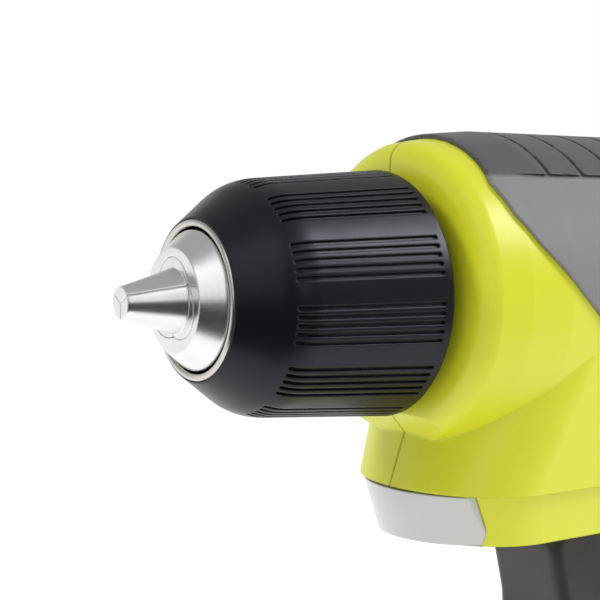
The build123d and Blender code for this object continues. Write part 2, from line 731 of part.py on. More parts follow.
def housing_screws():
    """Self-tapping screws that hold the two halves together, and the belt clip's screw."""
    with BuildPart() as screws:
        for y, z, reach in SCREW_POSTS:
            seat = -reach + SCREW_HEAD_DEPTH
            rod(sideways(y, z, seat - 2.2), SCREW_HEAD_R - 0.1, 2.18)
            rod(sideways(y, z, seat - 0.1), SCREW_R - 0.03, reach - 2)
            with BuildSketch(sideways(y, z, seat - 2.2)) as recess:
                RegularPolygon(1.3, 6)
            extrude(recess.sketch, amount=1.4, mode=Mode.SUBTRACT)
        rod(sideways(CLIP_Y, CLIP_Z, 39.55), 3.9, 2.2)
        rod(sideways(CLIP_Y, CLIP_Z, 30), 1.28, 9.6)
        fillet(screws.edges().group_by(Axis.X)[-1], 0.9)
        with BuildSketch(sideways(CLIP_Y, CLIP_Z, 41.75)) as recess:
            RegularPolygon(1.7, 6)
        extrude(recess.sketch, amount=-1.4, mode=Mode.SUBTRACT)
    save(screws, "housing_screws")


# ---------------------------------------------------------------- lamp
def lamp_seat(clearance):
    """Bow-fronted space that the lamp lens fills at the chin's lower front."""
    with BuildPart() as seat:
        loft([
            bow(CHIN_BREAK - 0.25 + clearance, CHIN_NOSE - 0.3 - clearance, 16.6 + clearance),
            bow(CHIN_FLOOR + 0.2 - clearance, CHIN_NOSE + 1.4 - clearance, 14.0 + clearance),
        ])
        half = 13 + clearance
        block((-half, half), (-65, RIM_Y + 43.6), (AXIS_Z - 45, AXIS_Z - 25), mode=Mode.INTERSECT)
    return seat.part


def lamp_lens():
    """Pale diffusing lens, hollow behind."""
    with BuildPart() as lens:
        add(lamp_seat(0))
        block((-9, 9), (RIM_Y + 39.4, RIM_Y + 44), (AXIS_Z - 36.9, AXIS_Z - 32), mode=Mode.SUBTRACT)
    save(lens, "lamp_lens")


def lamp_board():
    """Small circuit board with the lamp's emitter and its thin pair of leads."""
    with BuildPart() as board:
        block((-8.5, 8.5), (RIM_Y + 43.9, RIM_Y + 45.1), (AXIS_Z - 35.9, AXIS_Z - 26))
        with Locations((0, RIM_Y + 43.9, AXIS_Z - 34.4)):
            Sphere(1.9)
        block((-3, 3), (RIM_Y + 45.1, RIM_Y + 47), (AXIS_Z - 35.5, AXIS_Z - 28))
        for x in (-1.6, 1.6):
            wire([(x, RIM_Y + 47.05, 155.4), (x, -41, 155.9), (x, -32, 155.2), (x * 3.5, -24, 156.4)], 0.5)
    save(board, "lamp_board")


# ---------------------------------------------------------------- belt clip
def belt_clip():
    """Bent spring-steel hook screwed to the side of the foot."""
    width = 15.0
    with BuildPart() as clip:
        edge = Plane(origin=(0, CLIP_Y - width / 2, 0), x_dir=(1, 0, 0), z_dir=(0, -1, 0))
        with BuildSketch(edge) as strip:
            with BuildLine():
                FilletPolyline((38.6, 34), (38.6, 49), (50.5, 60), (50.5, 84), (46.5, 91), radius=5)
            trace(line_width=1.8)
        extrude(strip.sketch, amount=-width)
        rod(sideways(CLIP_Y, CLIP_Z, 36), 2.2, 5, mode=Mode.SUBTRACT)
        upright = clip.edges().filter_by(Axis.X).group_by(Axis.Z)[0]
        fillet(upright, 5)
    save(clip, "belt_clip")


# ---------------------------------------------------------------- controls
def trigger():
    """Speed trigger with a concave finger face and a plunger into the switch."""
    with BuildPart() as lever:
        with BuildSketch(SIDE) as outline:
            with BuildLine():
                FilletPolyline(
                    (84, -39.2), (61.9, -39.2), (65.6, -55), (62.2, -69.4), (84, -69.4),
                    radius=[3.5, 18, 3.5],
                )
                Line((84, -69.4), (84, -39.2))
            make_face()
        extrude(outline.sketch, amount=8.1, both=True)
        for flank in lever.faces().filter_by(Axis.X):
            fillet(flank.edges().sort_by(Axis.Y)[:-1], 2.0)
        rod(station(84, height=PLUNGER_Z - AXIS_Z), 4.6, -6, mode=Mode.SUBTRACT)
        rod(station(77, height=PLUNGER_Z - AXIS_Z), 2.1, 22)
    save(lever, "trigger")


def trigger_spring():
    """Return spring around the plunger."""
    with BuildPart() as spring:
        add(coil_spring(3.4, 0.4, 2.6, 6, station(78.8, height=PLUNGER_Z - AXIS_Z)))
    save(spring, "trigger_spring")


def switch_module():
    """Variable-speed switch with its plunger bore and the direction slot."""
    with BuildPart() as module:
        block((-11.5, 11.5), (-2, 17.4), (113, 146))
        fillet(module.edges().filter_by(Axis.X), 1.2)
        rod(station(94, height=PLUNGER_Z - AXIS_Z), 2.45, 14, mode=Mode.SUBTRACT)
        block((-5.6, 5.6), (0.4, 4.0), (141, 147), mode=Mode.SUBTRACT)
    save(module, "switch_module")


def switch_heat_sink():
    """Aluminium heat sink behind the switch."""
    with BuildPart() as sink:
        block((-8, 8), (17.5, 18.7), (116, 144))
        for x in (-6.5, 0, 6.5):
            block((x - 0.6, x + 0.6), (18.6, 20.6), (116, 144))
    save(sink, "switch_heat_sink")


def direction_bar():
    """Sliding direction selector above the trigger, with its fork pin into the switch."""
    with BuildPart() as bar:
        block((-20.8, 20.8), (-13.9, -5.1), (152.3, 157.7))
        fillet(bar.edges().group_by(Axis.X)[0] + bar.edges().group_by(Axis.X)[-1], 1.4)
        block((-2.5, 2.5), (-5.3, 3.6), (148, 154))
        rod(Plane(origin=(0, 2.2, 149), x_dir=(1, 0, 0), z_dir=(0, 0, -1)), 1.3, 6)
    save(bar, "direction_bar")


def wire(plane_points, radius):
    """Insulated wire along straight runs joined by arcs as large as the runs allow."""
    points = [Vector(point) for point in plane_points]
    radii = []
    for before, here, after in zip(points, points[1:], points[2:]):
        turn_angle = math.radians((here - before).get_angle(after - here))
        shorter = min((here - before).length, (after - here).length)
        radii.append(0.45 * shorter / math.tan(turn_angle / 2))
    with BuildLine() as path:
        FilletPolyline(*points, radius=radii)
    with BuildSketch(Plane(origin=path.line @ 0, z_dir=path.line % 0)) as section:
        Circle(radius)
    sweep(section.sketch, path=path.line)


def power_wires(name, side):
    """Supply wire from the terminals up to the switch and lead from the switch to the motor tag."""
    with BuildPart() as wires:
        wire([(side * 6, 12, 52.2), (side * 6, 11, 66), (side * 5, 4, 88), (side * 5.5, 4, 112.9)], 1.1)
        wire(
            [
                (side * 5, 12, 146.1), (side * 5, 13, 157), (side * 5.5, 21, 167.4), (side * 8, 36, 169.3),
                (side * 10.5, 43.6, 171.3), (side * 12.5, 43, 180.1),
            ],
            1.1,
        )
    save(wires, name)


def terminal_block():
    """Moulded block in the foot's roof that holds the blades."""
    with BuildPart() as holder:
        block((-16, 16), (4, 30), (43.75, 52))
        fillet(holder.edges().filter_by(Axis.Z), 1.5)
        for x in TERMINAL_X:
            block((x - 0.42, x + 0.42), (7.9, 27.1), (43, 49), mode=Mode.SUBTRACT)
    save(holder, "terminal_block")


def tool_blades():
    """Two contact blades that reach down into the pack."""
    with BuildPart() as blades:
        for x in TERMINAL_X:
            block((x - 0.4, x + 0.4), (8, 27), (35.4, 48.9))
    save(blades, "tool_blades")


# ---------------------------------------------------------------- battery pack
def pack_form(inset, low, high):
    """The pack's rounded block between two heights."""
    with BuildSketch(level(low)) as section:
        RectangleRounded(FOOT_WIDTH - 2 * inset, PACK_LENGTH - 2 * inset, FOOT_CORNER - inset)
    return extrude(section.sketch, amount=high - low, mode=Mode.PRIVATE)


def pack_lower():
    """Lower pack shell with screw posts."""
    with BuildPart() as shell:
        add(pack_form(0, 0, PACK_SPLIT_Z))
        chamfer(shell.faces().sort_by(Axis.Z)[0].edges(), 2.5)
        add(pack_form(2.2, 2.4, PACK_SPLIT_Z + 1), mode=Mode.SUBTRACT)
        for x in (-26, 26):
            for y in (-51.2, 51.2):
                rod(level(1, y).move(Location((x, 0, 0))), 2.9, PACK_SPLIT_Z - 1)
                rod(level(-1, y).move(Location((x, 0, 0))), 1.5, 30, mode=Mode.SUBTRACT)
                rod(level(-1, y).move(Location((x, 0, 0))), 2.3, 4.2, mode=Mode.SUBTRACT)
    save(shell, "pack_lower")


def pack_upper():
    """Upper pack shell with the T-shaped slide rail, blade slots and openings."""
    with BuildPart() as shell:
        add(pack_form(0, PACK_SPLIT_Z + 0.15, PACK_TOP_Z))
        chamfer(shell.faces().sort_by(Axis.Z)[-1].edges(), 1.2)
        block((-24.1, 24.1), (-52, 39.6), (PACK_TOP_Z - 0.5, 36))
        block((-28.2, 28.2), (-52, 39.6), (35.3, RAIL_TOP_Z))
        add(pack_form(2.2, PACK_SPLIT_Z - 1, PACK_TOP_Z - 2.2), mode=Mode.SUBTRACT)
        block((-21.6, 21.6), (-49.6, 37.2), (27, RAIL_TOP_Z - 2), mode=Mode.SUBTRACT)
        for x in TERMINAL_X:
            block((x - 1.4, x + 1.4), (5, 41), (33, 45), mode=Mode.SUBTRACT)
        for x in (-26, 26):
            for y in (-51.2, 51.2):
                rod(level(PACK_SPLIT_Z + 0.15, y).move(Location((x, 0, 0))), 2.9, 12)
                rod(level(PACK_SPLIT_Z - 1, y).move(Location((x, 0, 0))), 1.15, 9, mode=Mode.SUBTRACT)
        for side in (-1, 1):
            block(sorted((side * 30, side * 45)), (-47, -31), (21.3, 28.2), mode=Mode.SUBTRACT)
            block(sorted((side * 27.2, side * 34.7)), (-46.1, -37.6), (27, 32), mode=Mode.SUBTRACT)
            block(sorted((side * 24.4, side * 25.9)), (-43, -35), (21.6, 28.8))
        block((-13.15, 5.15), (-60, -50), (19.85, 27.15), mode=Mode.SUBTRACT)
        block((8.8, 17.2), (-60, -50), (19.8, 27.2), mode=Mode.SUBTRACT)
    save(shell, "pack_upper")


def pack_screws():
    """Four screws from below."""
    with BuildPart() as screws:
        for x in (-26, 26):
            for y in (-51.2, 51.2):
                rod(level(1.2, y).move(Location((x, 0, 0))), 2.2, 1.98)
                rod(level(3.1, y).move(Location((x, 0, 0))), 1.1, 20)
    save(screws, "pack_screws")


def cell_y(index):
    return (index - (CELL_COUNT - 1) / 2) * CELL_PITCH


def pack_cells():
    """Five cylindrical cells lying across the pack."""
    with BuildPart() as cells:
        for index in range(CELL_COUNT):
            rod(sideways(cell_y(index), CELL_Z, -CELL_LENGTH / 2), CELL_R, CELL_LENGTH)
        fillet(cells.edges().filter_by(GeomType.CIRCLE), 0.8)
    save(cells, "pack_cells")


def pack_contacts():
    """Nickel straps that join the cells in series, and the sprung clips that receive the blades."""
    with BuildPart() as contacts:
        for index in range(CELL_COUNT - 1):
            x = (CELL_LENGTH / 2 + 0.02) * (1 if index % 2 else -1)
            span = (cell_y(index) - 4, cell_y(index + 1) + 4)
            block(sorted((x, x * 1.008)), span, (CELL_Z - 3.5, CELL_Z + 3.5))
        for x in TERMINAL_X:
            block((x - 3, x + 3), (10, 26), (25.65, 26.4))
            for side in (-1, 1):
                block(sorted((x + side * 0.62, x + side * 1.02)), (10, 26), (26.3, 40.5))
    save(contacts, "pack_contacts")


def pack_board():
    """Protection board above the cells."""
    with BuildPart() as board:
        block((-20, 20), (-28, 46), (24, 25.6))
        for y in (-18, -8, 34):
            block((-15, -7), (y, y + 6), (25.5, 27.4))
    save(board, "pack_board")


def gauge_lens():
    """Charge gauge window with four lamp segments."""
    with BuildPart() as lens:
        block((-13, 5), (-56.2, -53.9), (20, 27))
        for index in range(4):
            x = -10.6 + index * 4.4
            block((x - 1.5, x + 1.5), (-57, -55.9), (21.9, 25.1), mode=Mode.SUBTRACT)
    save(lens, "gauge_lens")


def gauge_button():
    """Charge gauge button with a retaining flange inside the wall."""
    with BuildPart() as button:
        block((9.1, 16.9), (-56.9, -53.2), (20.1, 26.9))
        fillet(button.edges().filter_by(Axis.Y), 1.6)
        fillet(button.faces().sort_by(Axis.Y)[0].edges(), 0.5)
        block((8.2, 17.8), (-53.7, -52.9), (19.4, 27.6))
    save(button, "gauge_button")


def latch(name, side):
    """Side release button with its hook."""
    with BuildPart() as button:
        block(sorted((side * 33.5, side * 38.6)), (-46.7, -31.3), (21.7, 27.9))
        outer = button.faces().sort_by(Axis.X)[-1 if side > 0 else 0]
        fillet(outer.edges(), 1.2)
        block(sorted((side * 30.8, side * 34.1)), (-45.3, -38.4), (26, 34.6))
        hook = button.faces().sort_by(Axis.Z)[-1]
        chamfer(hook.edges().sort_by(Axis.Y)[0], 1.8)
    save(button, name)


def latch_springs():
    """Bent leaf springs between the latches and the shell's ribs."""
    with BuildPart() as springs:
        for side in (-1, 1):
            with BuildSketch(level(22.5)) as leaf:
                with BuildLine():
                    Polyline((side * 26.2, -42.5), (side * 32.9, -39), (side * 26.2, -35.5))
                trace(line_width=0.4)
            extrude(leaf.sketch, amount=3)
    save(springs, "latch_springs")


# ---------------------------------------------------------------- whole drill
def main():
    chuck_sleeve()
    chuck_nose_ring()
    chuck_body()
    for index in range(JAW_COUNT):
        chuck_jaw(index)
    chuck_nut()
    chuck_thrust_bearing()
    chuck_rear_cover()
    chuck_screw()
    spindle()
    front_bearing()
    gearbox_housing()
    ring_gear("ring_gear_2", STAGE_2 - 0.3, 8.0)
    ring_gear("ring_gear_1", STAGE_1 - 0.4, 6.0)
    for index in range(PLANET_COUNT):
        planet(f"planet_2_{index + 1}", STAGE_2, 7.0, planet_angle(index))
        planet(f"planet_1_{index + 1}", STAGE_1, 5.0, planet_angle(index))
    first_carrier()
    motor_mount_plate()
    motor_can()
    motor_magnets()
    rotor_core()
    rotor_windings()
    rotor_shaft()
    motor_fan()
    motor_end_cap()
    motor_brushes()
    outer = body_form(0, FOOT_Z)
    cavity = body_form(WALL, SKIRT_Z)
    housing_half("housing_left", 1, outer, cavity)
    housing_half("housing_right", -1, outer, cavity)
    grip_half("grip_left", 1, outer)
    grip_half("grip_right", -1, outer)
    housing_screws()
    lamp_lens()
    lamp_board()
    belt_clip()
    trigger()
    trigger_spring()
    switch_module()
    switch_heat_sink()
    direction_bar()
    power_wires("power_wires_red", 1)
    power_wires("power_wires_black", -1)
    terminal_block()
    tool_blades()
    pack_lower()
    pack_upper()
    pack_screws()
    pack_cells()
    pack_board()
    pack_contacts()
    gauge_lens()
    gauge_button()
    for name, side in (("left", 1), ("right", -1)):
        latch(f"latch_{name}", side)
    latch_springs()


main()
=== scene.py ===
import json
import math

import bmesh
import bpy
from mathutils import Matrix, Vector
from mathutils.bvhtree import BVHTree


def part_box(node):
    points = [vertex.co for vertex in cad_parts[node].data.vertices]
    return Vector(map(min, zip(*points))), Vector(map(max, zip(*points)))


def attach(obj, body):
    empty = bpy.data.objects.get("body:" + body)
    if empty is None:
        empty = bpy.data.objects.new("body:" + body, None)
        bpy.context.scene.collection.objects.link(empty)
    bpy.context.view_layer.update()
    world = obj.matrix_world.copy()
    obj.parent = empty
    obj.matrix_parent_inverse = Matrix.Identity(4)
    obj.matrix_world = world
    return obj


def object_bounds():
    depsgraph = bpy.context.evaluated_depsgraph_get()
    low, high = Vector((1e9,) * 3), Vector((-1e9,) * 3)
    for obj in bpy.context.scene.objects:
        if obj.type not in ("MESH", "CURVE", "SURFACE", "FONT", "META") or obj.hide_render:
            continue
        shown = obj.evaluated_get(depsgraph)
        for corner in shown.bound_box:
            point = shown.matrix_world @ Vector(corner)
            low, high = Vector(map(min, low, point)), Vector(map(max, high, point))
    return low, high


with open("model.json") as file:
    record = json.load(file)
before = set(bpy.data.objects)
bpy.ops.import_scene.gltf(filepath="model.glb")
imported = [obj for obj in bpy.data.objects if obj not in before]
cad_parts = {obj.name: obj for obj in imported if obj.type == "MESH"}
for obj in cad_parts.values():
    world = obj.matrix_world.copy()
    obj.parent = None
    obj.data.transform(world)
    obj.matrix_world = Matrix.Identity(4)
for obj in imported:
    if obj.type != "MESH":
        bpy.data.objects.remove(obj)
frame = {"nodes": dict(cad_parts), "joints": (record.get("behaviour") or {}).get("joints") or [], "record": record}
CAD_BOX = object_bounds()
NODES = frame["nodes"]
SLOT_OF = {row["node"]: row["material_slot"] for row in frame["record"]["subparts"]}

# ---------------------------------------------------------------- places read from the frame
AXIS_Z = next(joint["pos_m"][2] for joint in frame["joints"] if joint["name"] == "spindle_spin")
SLEEVE_FRONT = Vector((0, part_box("chuck_sleeve")[0][1], AXIS_Z))

# ---------------------------------------------------------------- the photograph's view
CAMERA_FROM_SLEEVE = Vector((0.1683, -0.0945, 0.0117))
CAMERA_FORWARD = Vector((-0.8294, 0.5554, -0.0604)).normalized()
CAMERA_RIGHT = Vector((0.5564, 0.8309, 0)).normalized()
CAMERA_LENS_MM, SENSOR_MM = 82.3, 36
CAMERA_SIDE = Vector((0.83, -0.55, 0)).normalized()     # level, from the drill towards the camera
LIGHTS_AIM = Vector((0, -0.04, 0.16))


# ---------------------------------------------------------------- shader helpers
def make(tree, kind, inputs=None, **settings):
    """Add a shader node, set its properties, then fill its inputs with values or links."""
    made = tree.nodes.new("ShaderNode" + kind)
    for name, value in settings.items():
        setattr(made, name, value)
    for name, value in (inputs or {}).items():
        if isinstance(value, bpy.types.NodeSocket):
            tree.links.new(value, made.inputs[name])
        else:
            made.inputs[name].default_value = value
    return made


def noise(tree, place, scale, detail=2.0, roughness=0.5):
    return make(tree, "TexNoise", {"Vector": place, "Scale": scale, "Detail": detail,
                                   "Roughness": roughness}).outputs["Fac"]


def remap(tree, value, low, high, to_low, to_high, smooth=False):
    return make(tree, "MapRange", {"Value": value, "From Min": low, "From Max": high, "To Min": to_low,
                                   "To Max": to_high},
                interpolation_type="SMOOTHSTEP" if smooth else "LINEAR").outputs["Result"]


def math_node(tree, operation, first, second):
    return make(tree, "Math", {0: first, 1: second}, operation=operation).outputs[0]


def mix_value(tree, factor, first, second):
    return make(tree, "Mix", {0: factor, 2: first, 3: second}, data_type="FLOAT").outputs[0]


def mix_colour(tree, factor, first, second, blend="MIX"):
    """Blend two colours, each a tuple or a socket."""
    mixed = make(tree, "Mix", data_type="RGBA", blend_type=blend)
    for index, value in ((0, factor), (6, first), (7, second)):
        if isinstance(value, bpy.types.NodeSocket):
            tree.links.new(value, mixed.inputs[index])
        elif isinstance(value, tuple):
            mixed.inputs[index].default_value = (*value, 1)
        else:
            mixed.inputs[index].default_value = value
    return mixed.outputs[2]


# ---------------------------------------------------------------- camera, lights, floor
def add_camera():
    """The photograph's view: a close camera ahead of the nose and to the drill's left."""
    up = CAMERA_RIGHT.cross(CAMERA_FORWARD)
    turn = Matrix((CAMERA_RIGHT, up, -CAMERA_FORWARD)).transposed().to_4x4()
    data = bpy.data.cameras.new("photo_camera")
    data.lens = CAMERA_LENS_MM
    data.sensor_width = SENSOR_MM
    data.clip_start = 0.01
    camera = bpy.data.objects.new("photo_camera", data)
    camera.matrix_world = Matrix.Translation(SLEEVE_FRONT + CAMERA_FROM_SLEEVE) @ turn
    bpy.context.scene.collection.objects.link(camera)
    bpy.context.scene.camera = camera


def add_light(name, place, size, power, mirrored=True):
    """A soft rectangular light aimed at the drill, in watts; unless mirrored, gloss doesn't show it."""
    data = bpy.data.lights.new(name, "AREA")
    data.shape = "RECTANGLE"
    data.size, data.size_y = size
    data.energy = power
    light = bpy.data.objects.new(name, data)
    light.location = place
    light.visible_glossy = mirrored
    aim = LIGHTS_AIM - light.location
    light.rotation_euler = aim.to_track_quat("-Z", "Y").to_euler()
    bpy.context.scene.collection.objects.link(light)


def plain_sheet(name, corners, grey):
    """A flat matt sheet of studio card or floor, and its shader."""
    mesh = bpy.data.meshes.new(name)
    mesh.from_pydata(corners, [], [range(len(corners))])
    sheet = bpy.data.objects.new(name, mesh)
    bpy.context.scene.collection.objects.link(sheet)
    material = bpy.data.materials.new(name)
    material.use_nodes = True
    shader = material.node_tree.nodes["Principled BSDF"]
    shader.inputs["Base Color"].default_value = (grey, grey, grey, 1)
    shader.inputs["Roughness"].default_value = 0.8
    mesh.materials.append(material)
    return sheet, shader


def add_world():
    """White surroundings for the camera; what they light and reflect is gentler, and dim to one side."""
    world = bpy.data.worlds.new("studio")
    world.use_nodes = True
    tree = world.node_tree
    background = tree.nodes["Background"]
    direction = make(tree, "TexCoord").outputs["Generated"]
    aside = make(tree, "VectorMath", {0: direction, 1: tuple(CAMERA_SIDE)}, operation="DOT_PRODUCT")
    height = make(tree, "SeparateXYZ", {"Vector": direction}).outputs["Z"]
    # Nearly white at the horizon, grey overhead.
    horizon_white, top_grey, camera_side_dim = 0.95, 0.42, 0.1
    by_height = remap(tree, height, 0.15, 0.6, horizon_white, top_grey, smooth=True)
    # Dim towards the camera's side, except overhead.
    by_side = remap(tree, aside.outputs["Value"], -0.1, 0.6, 1, camera_side_dim, smooth=True)
    overhead = remap(tree, height, 0.3, 0.8, 0, 1, smooth=True)
    glow = math_node(tree, "MULTIPLY", by_height, mix_value(tree, overhead, by_side, 1.0))
    # The camera itself sees plain white.
    seen = make(tree, "LightPath").outputs["Is Camera Ray"]
    tree.links.new(mix_value(tree, seen, glow, 1.0), background.inputs["Color"])
    bpy.context.scene.world = world
    bpy.context.scene.view_settings.view_transform = "Standard"


def add_studio():
    """A pale floor, four soft lights, and a sloping dark flag that only reflections show."""
    floor_gap, reach, floor_grey, floor_glow = 0.0003, 4.0, 0.42, 0.82
    floor_z = CAD_BOX[0][2] - floor_gap
    corners = [(x * reach, y * reach, floor_z) for x, y in ((-1, -1), (1, -1), (1, 1), (-1, 1))]
    _, shader = plain_sheet("floor", corners, floor_grey)
    shader.inputs["Emission Color"].default_value = (1, 1, 1, 1)
    shader.inputs["Emission Strength"].default_value = floor_glow
    # The flag rises away from the drill, between two ends across the camera's side.
    foot, head, ends, flag_grey = (0.19, 0.004), (0.46, 0.185), (-0.5, 0.6), 0.01
    across = Vector((-CAMERA_SIDE.y, CAMERA_SIDE.x, 0))
    corners = [CAMERA_SIDE * out + across * aside + Vector((0, 0, height)) for (out, height), aside in
               ((foot, ends[0]), (foot, ends[1]), (head, ends[1]), (head, ends[0]))]
    flag, _ = plain_sheet("dark_flag", corners, flag_grey)
    flag.visible_camera = False
    flag.visible_shadow = False
    flag.visible_diffuse = False
    add_light("key", (0.5, 0.42, 0.78), (0.34, 0.42), 4.6)
    add_light("front", (0.38, -0.70, 0.58), (0.55, 0.85), 1.35)
    add_light("side", (0.75, -0.12, 0.62), (0.3, 0.8), 0.75)
    add_light("fill", (-0.35, -0.72, 0.8), (0.25, 0.25), 3.4, mirrored=False)


# ---------------------------------------------------------------- materials
def object_place(tree):
    return make(tree, "TexCoord").outputs["Object"]


def around_axis(tree, density):
    """Coordinates (distance from the spindle axis, place along it), for marks left by a lathe."""
    split = make(tree, "SeparateXYZ", {"Vector": object_place(tree)})
    up = math_node(tree, "SUBTRACT", split.outputs["Z"], AXIS_Z)
    flat = make(tree, "CombineXYZ", {"X": split.outputs["X"], "Y": up}).outputs[0]
    radius = make(tree, "VectorMath", {0: flat}, operation="LENGTH").outputs["Value"]
    turned = make(tree, "CombineXYZ", {"X": radius, "Y": split.outputs["Y"]}).outputs[0]
    return make(tree, "VectorMath", {0: turned, "Scale": density}, operation="SCALE").outputs[0]


def edge_mask(tree, radius):
    """One where a surface turns sharply within a radius, broken up into patches, and the rounded normal."""
    patch_scale, flat_facing, sharp_facing = 900, 0.995, 0.86
    rounded = make(tree, "Bevel", {"Radius": radius}, samples=6).outputs["Normal"]
    smooth = make(tree, "NewGeometry").outputs["Normal"]
    facing = make(tree, "VectorMath", {0: rounded, 1: smooth}, operation="DOT_PRODUCT").outputs["Value"]
    edge = remap(tree, facing, flat_facing, sharp_facing, 0, 1)
    patches = remap(tree, noise(tree, object_place(tree), patch_scale, 4), 0.42, 0.62, 0, 1)
    return math_node(tree, "MULTIPLY", edge, patches), rounded


def coloured(colour, share):
    return tuple(min(1, channel * share) for channel in colour)


def surface(name, colour, roughness, drift=0.06, spread=0.1, grain=(2600, 0.00002), wear_and_highlight=0.5,
            worn_and_highlit=None, worn_roughness=None, rounding=0.0004, height=None, tint=None, **shader):
    """One finish: colour drift, uneven roughness, fine grain, rounded edges, and paler edges in patches for wear
    and, on the sleeve, a painted highlight.

    grain is (scale, depth in metres); height is an own bump source made from the node tree, tint an own
    colour source; the rest are the shader's own values.
    """
    broad_scale, smear_scale, noise_low, noise_high = 45, 140, 0.3, 0.7
    worn_brighter, worn_smoother = 1.5, 0.8
    material = bpy.data.materials.new(name)
    material.use_nodes = True
    tree = material.node_tree
    principled = tree.nodes["Principled BSDF"]
    place = object_place(tree)
    shade = remap(tree, noise(tree, place, broad_scale, 3), noise_low, noise_high, 0, 1)
    tone = mix_colour(tree, shade, (1 - drift,) * 3, (1, 1, 1))
    toned = mix_colour(tree, 1, tint(tree) if tint else colour, tone, blend="MULTIPLY")
    edges, rounded = edge_mask(tree, rounding)
    # Edges take the paler colour in patches: wear, and where a finish asks for it, a painted highlight.
    wear_and_highlight_share = math_node(tree, "MULTIPLY", edges, wear_and_highlight)
    final = mix_colour(tree, wear_and_highlight_share, toned, worn_and_highlit or coloured(colour, worn_brighter))
    tree.links.new(final, principled.inputs["Base Color"])
    smears = noise(tree, place, smear_scale, 5, 0.65)
    rough = remap(tree, smears, noise_low, noise_high, roughness - spread / 2, roughness + spread / 2)
    worn_rough = worn_roughness if worn_roughness is not None else roughness * worn_smoother
    tree.links.new(mix_value(tree, wear_and_highlight_share, rough, worn_rough), principled.inputs["Roughness"])
    relief = height(tree) if height else noise(tree, place, grain[0], 2)
    bump = make(tree, "Bump", {"Strength": 1.0, "Distance": grain[1], "Height": relief, "Normal": rounded})
    tree.links.new(bump.outputs["Normal"], principled.inputs["Normal"])
    for socket, value in shader.items():
        principled.inputs[socket.replace("_", " ")].default_value = value
    return material


def lathe_lines(density):
    """Bump source: fine rings about the spindle axis."""
    def height(tree):
        return noise(tree, around_axis(tree, density), 1.0, 3, 0.7)
    return height


def brushed_lines(along, density=5200, stretch=0.02):
    """Bump source: fine lines along one world axis."""
    def height(tree):
        scale = [density, density, density]
        scale[along] = density * stretch
        moved = make(tree, "VectorMath", {0: object_place(tree), 1: tuple(scale)}, operation="MULTIPLY")
        return noise(tree, moved.outputs[0], 1.0, 3, 0.7)
    return height


def turned_metal(name, colour, roughness, depth=0.000012, anisotropy=0.75):
    """Lathe-turned metal: rings in the bump, and highlights stretched across them."""
    ring_density = 9000
    material = surface(name, colour, roughness, drift=0.03, spread=0.08, grain=(0, depth), wear_and_highlight=0.3,
                       height=lathe_lines(ring_density), Metallic=1.0, Anisotropic=anisotropy)
    tree = material.node_tree
    tangent = make(tree, "Tangent", direction_type="RADIAL", axis="Y")
    tree.links.new(tangent.outputs[0], tree.nodes["Principled BSDF"].inputs["Tangent"])
    return material


# ---------------------------------------------------------------- colours (linear)
LIME = (0.66, 0.68, 0.022)
# painted shade for the top of the soft grip, above its crease
SKIN_PAINTED_SHADE = (0.062, 0.062, 0.066)
SKIN_PALE = (0.20, 0.20, 0.205)
CELL_BLUE = (0.05, 0.16, 0.42)
COPPER = (0.62, 0.23, 0.08)
BOARD_GREEN = (0.01, 0.10, 0.03)


def grip_tint_with_painted_shade(tree):
    """Painted shade: darker grey over the top above the crease; the grip's own paler grey on the flanks and handle
    below it.
    """
    crease_z, soft_edge = AXIS_Z + 0.0175, 0.0006
    height = make(tree, "SeparateXYZ", {"Vector": object_place(tree)}).outputs["Z"]
    # Painted shade: the top above the crease is made darker.
    above = remap(tree, height, crease_z, crease_z + soft_edge, 0, 1)
    return mix_colour(tree, above, SKIN_PALE, SKIN_PAINTED_SHADE)


def cell_tint(tree):
    """Wrapped cells with bare steel ends."""
    cell_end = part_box("pack_cells")[1][0]
    side = make(tree, "SeparateXYZ", {"Vector": object_place(tree)}).outputs["X"]
    out = make(tree, "Math", {0: side}, operation="ABSOLUTE").outputs[0]
    end = remap(tree, out, cell_end - 0.0012, cell_end - 0.0010, 0, 1)
    return mix_colour(tree, end, CELL_BLUE, (0.62, 0.62, 0.6))


def winding_tint(tree):
    """Enamelled copper with darker lacquer in patches."""
    patches = remap(tree, noise(tree, object_place(tree), 260, 3), 0.4, 0.6, 0, 1)
    return mix_colour(tree, patches, COPPER, (0.34, 0.09, 0.03))


def board_tint(tree):
    """Green solder mask with a fine pattern of tracks."""
    place = make(tree, "VectorMath", {0: object_place(tree), 1: (1, 1, 0.2)}, operation="MULTIPLY").outputs[0]
    cells = make(tree, "TexVoronoi", {"Vector": place, "Scale": 420, "Randomness": 0.4},
                 feature="DISTANCE_TO_EDGE").outputs["Distance"]
    track = remap(tree, cells, 0.05, 0.08, 1, 0)
    return mix_colour(tree, track, BOARD_GREEN, (0.03, 0.22, 0.07))


